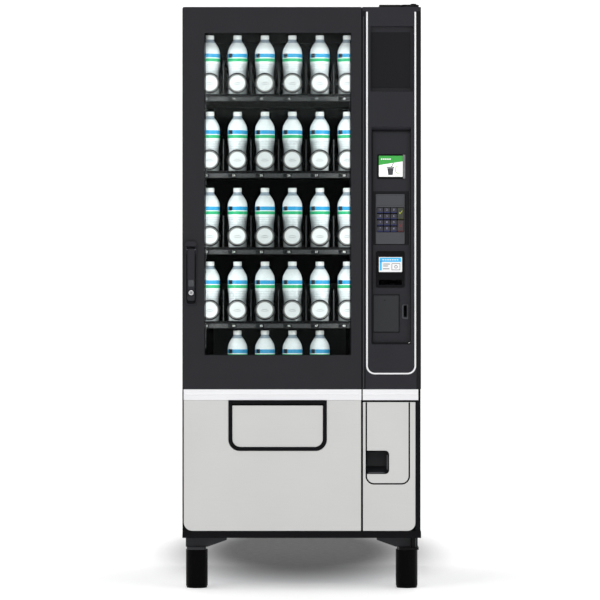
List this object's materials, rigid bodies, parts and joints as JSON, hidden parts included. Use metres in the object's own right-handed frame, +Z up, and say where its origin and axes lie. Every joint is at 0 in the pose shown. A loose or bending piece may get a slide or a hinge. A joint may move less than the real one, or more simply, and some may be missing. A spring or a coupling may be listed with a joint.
{
  "type": "glass-front snack vending machine",
  "caption": "Upright glass-front vending machine with spiral trays of bottles, a keypad and payment column, a push-in delivery flap and a hinged door on short legs.",
  "frame": {"origin": "centre of the footprint, on the floor", "axes": "+Z up, the door faces -Y, +X is the door's hinge side"},
  "size_m": [0.75, 0.89, 1.8415],
  "materials": {
    "charcoal_paint": "satin",
    "black_paint": "satin",
    "galvanised": "satin",
    "foam": "matte",
    "unit_metal": "satin",
    "fan_plastic": "matte",
    "tray_steel": "satin",
    "coil_wire": "satin",
    "bottle_water": "gloss",
    "gasket_rubber": "matte",
    "led_diffuser": "satin",
    "glass": "gloss",
    "fascia_plastic": "satin",
    "bright_metal": "satin",
    "brushed_panel": "satin",
    "black_plastic": "satin",
    "grey_plastic": "satin",
    "screen": "gloss",
    "key_plastic": "satin",
    "key_yellow": "satin",
    "key_red": "satin",
    "lock_chrome": "polished"
  },
  "bodies": {
    "cabinet": {"cabinet_panels": "charcoal_paint", "rear_panel": "charcoal_paint", "base_pan": "galvanised", "legs": "black_paint", "hinge_brackets": "black_paint", "insulation": "foam", "tray_rails": "galvanised", "cooling_unit": "unit_metal", "control_box": "galvanised"},
    "fan": {"condenser_fan": "fan_plastic"},
    "tray_1": {"tray_1": "tray_steel", "coils_1": "coil_wire", "bottles_1": "bottle_water"},
    "tray_2": {"tray_2": "tray_steel", "coils_2": "coil_wire", "bottles_2": "bottle_water"},
    "tray_3": {"tray_3": "tray_steel", "coils_3": "coil_wire", "bottles_3": "bottle_water"},
    "tray_4": {"tray_4": "tray_steel", "coils_4": "coil_wire", "bottles_4": "bottle_water"},
    "tray_5": {"tray_5": "tray_steel", "coils_5": "coil_wire", "bottles_5": "bottle_water"},
    "coil_left": {"coil_5_left": "coil_wire"},
    "coil_right": {"coil_5_right": "coil_wire"},
    "door": {"door_frame": "black_plastic", "door_gasket": "gasket_rubber", "door_lights": "led_diffuser", "window_glass": "glass", "window_fascia": "charcoal_paint", "control_fascia": "fascia_plastic", "bright_trim": "bright_metal", "lower_panels": "brushed_panel", "blank_plates": "black_plastic", "delivery_bin": "black_plastic", "coin_return_cup": "black_plastic", "keypad_plate": "grey_plastic", "display_screen": "screen", "bill_validator": "black_plastic", "coin_unit": "black_plastic", "handle_base": "fascia_plastic"},
    "flap": {"delivery_flap": "brushed_panel"},
    "lever": {"handle_lever": "grey_plastic"},
    "lock": {"lock_cylinder": "lock_chrome"},
    "key_1": {"key_1": "key_plastic"},
    "key_2": {"key_2": "key_plastic"},
    "key_3": {"key_3": "key_plastic"},
    "key_4": {"key_4": "key_plastic"},
    "key_5": {"key_5": "key_plastic"},
    "key_6": {"key_6": "key_plastic"},
    "key_7": {"key_7": "key_plastic"},
    "key_8": {"key_8": "key_plastic"},
    "key_9": {"key_9": "key_plastic"},
    "key_star": {"key_star": "key_plastic"},
    "key_0": {"key_0": "key_plastic"},
    "key_hash": {"key_hash": "key_plastic"},
    "key_confirm": {"key_confirm": "key_yellow"},
    "key_cancel": {"key_cancel": "key_red"}
  },
  "joints": [
    {"name": "door_hinge", "type": "hinge", "parent": "cabinet", "child": "door", "pos_m": [0.352, -0.392, 0], "axis": [0, 0, 1], "range_deg": [0, 105]},
    {"name": "fan_spin", "type": "hinge", "parent": "cabinet", "child": "fan", "pos_m": [-0.18, 0.385, 0.3215], "axis": [0, 1, 0], "continuous": true},
    {"name": "handle_lift", "type": "hinge", "parent": "door", "child": "lever", "pos_m": [-0.347, -0.437, 1.066], "axis": [-1, 0, 0], "range_deg": [0, 35]},
    {"name": "lock_turn", "type": "hinge", "parent": "lever", "child": "lock", "pos_m": [-0.347, -0.44, 0.931], "axis": [0, 1, 0], "range_deg": [0, 90]},
    {"name": "flap_push", "type": "hinge", "parent": "door", "child": "flap", "pos_m": [-0.0759, -0.42, 0.572], "axis": [1, 0, 0], "range_deg": [0, 65]},
    {"name": "tray_1_slide", "type": "slide", "parent": "cabinet", "child": "tray_1", "axis": [0, -1, 0], "range_m": [0, 0.085]},
    {"name": "tray_2_slide", "type": "slide", "parent": "cabinet", "child": "tray_2", "axis": [0, -1, 0], "range_m": [0, 0.085]},
    {"name": "tray_3_slide", "type": "slide", "parent": "cabinet", "child": "tray_3", "axis": [0, -1, 0], "range_m": [0, 0.085]},
    {"name": "tray_4_slide", "type": "slide", "parent": "cabinet", "child": "tray_4", "axis": [0, -1, 0], "range_m": [0, 0.085]},
    {"name": "tray_5_slide", "type": "slide", "parent": "cabinet", "child": "tray_5", "axis": [0, -1, 0], "range_m": [0, 0.085]},
    {"name": "coil_left_turn", "type": "hinge", "parent": "tray_5", "child": "coil_left", "pos_m": [-0.294, -0.1, 0.6555], "axis": [0, 1, 0], "continuous": true},
    {"name": "coil_right_turn", "type": "hinge", "parent": "tray_5", "child": "coil_right", "pos_m": [0.146, -0.1, 0.6555], "axis": [0, 1, 0], "continuous": true},
    {"name": "press_1", "type": "slide", "parent": "door", "child": "key_1", "axis": [0, 1, 0], "range_m": [0, 0.0015], "stiffness_N_per_m": 300},
    {"name": "press_2", "type": "slide", "parent": "door", "child": "key_2", "axis": [0, 1, 0], "range_m": [0, 0.0015], "stiffness_N_per_m": 300},
    {"name": "press_3", "type": "slide", "parent": "door", "child": "key_3", "axis": [0, 1, 0], "range_m": [0, 0.0015], "stiffness_N_per_m": 300},
    {"name": "press_4", "type": "slide", "parent": "door", "child": "key_4", "axis": [0, 1, 0], "range_m": [0, 0.0015], "stiffness_N_per_m": 300},
    {"name": "press_5", "type": "slide", "parent": "door", "child": "key_5", "axis": [0, 1, 0], "range_m": [0, 0.0015], "stiffness_N_per_m": 300},
    {"name": "press_6", "type": "slide", "parent": "door", "child": "key_6", "axis": [0, 1, 0], "range_m": [0, 0.0015], "stiffness_N_per_m": 300},
    {"name": "press_7", "type": "slide", "parent": "door", "child": "key_7", "axis": [0, 1, 0], "range_m": [0, 0.0015], "stiffness_N_per_m": 300},
    {"name": "press_8", "type": "slide", "parent": "door", "child": "key_8", "axis": [0, 1, 0], "range_m": [0, 0.0015], "stiffness_N_per_m": 300},
    {"name": "press_9", "type": "slide", "parent": "door", "child": "key_9", "axis": [0, 1, 0], "range_m": [0, 0.0015], "stiffness_N_per_m": 300},
    {"name": "press_star", "type": "slide", "parent": "door", "child": "key_star", "axis": [0, 1, 0], "range_m": [0, 0.0015], "stiffness_N_per_m": 300},
    {"name": "press_0", "type": "slide", "parent": "door", "child": "key_0", "axis": [0, 1, 0], "range_m": [0, 0.0015], "stiffness_N_per_m": 300},
    {"name": "press_hash", "type": "slide", "parent": "door", "child": "key_hash", "axis": [0, 1, 0], "range_m": [0, 0.0015], "stiffness_N_per_m": 300},
    {"name": "press_confirm", "type": "slide", "parent": "door", "child": "key_confirm", "axis": [0, 1, 0], "range_m": [0, 0.0015], "stiffness_N_per_m": 300},
    {"name": "press_cancel", "type": "slide", "parent": "door", "child": "key_cancel", "axis": [0, 1, 0], "range_m": [0, 0.0015], "stiffness_N_per_m": 300}
  ]
}
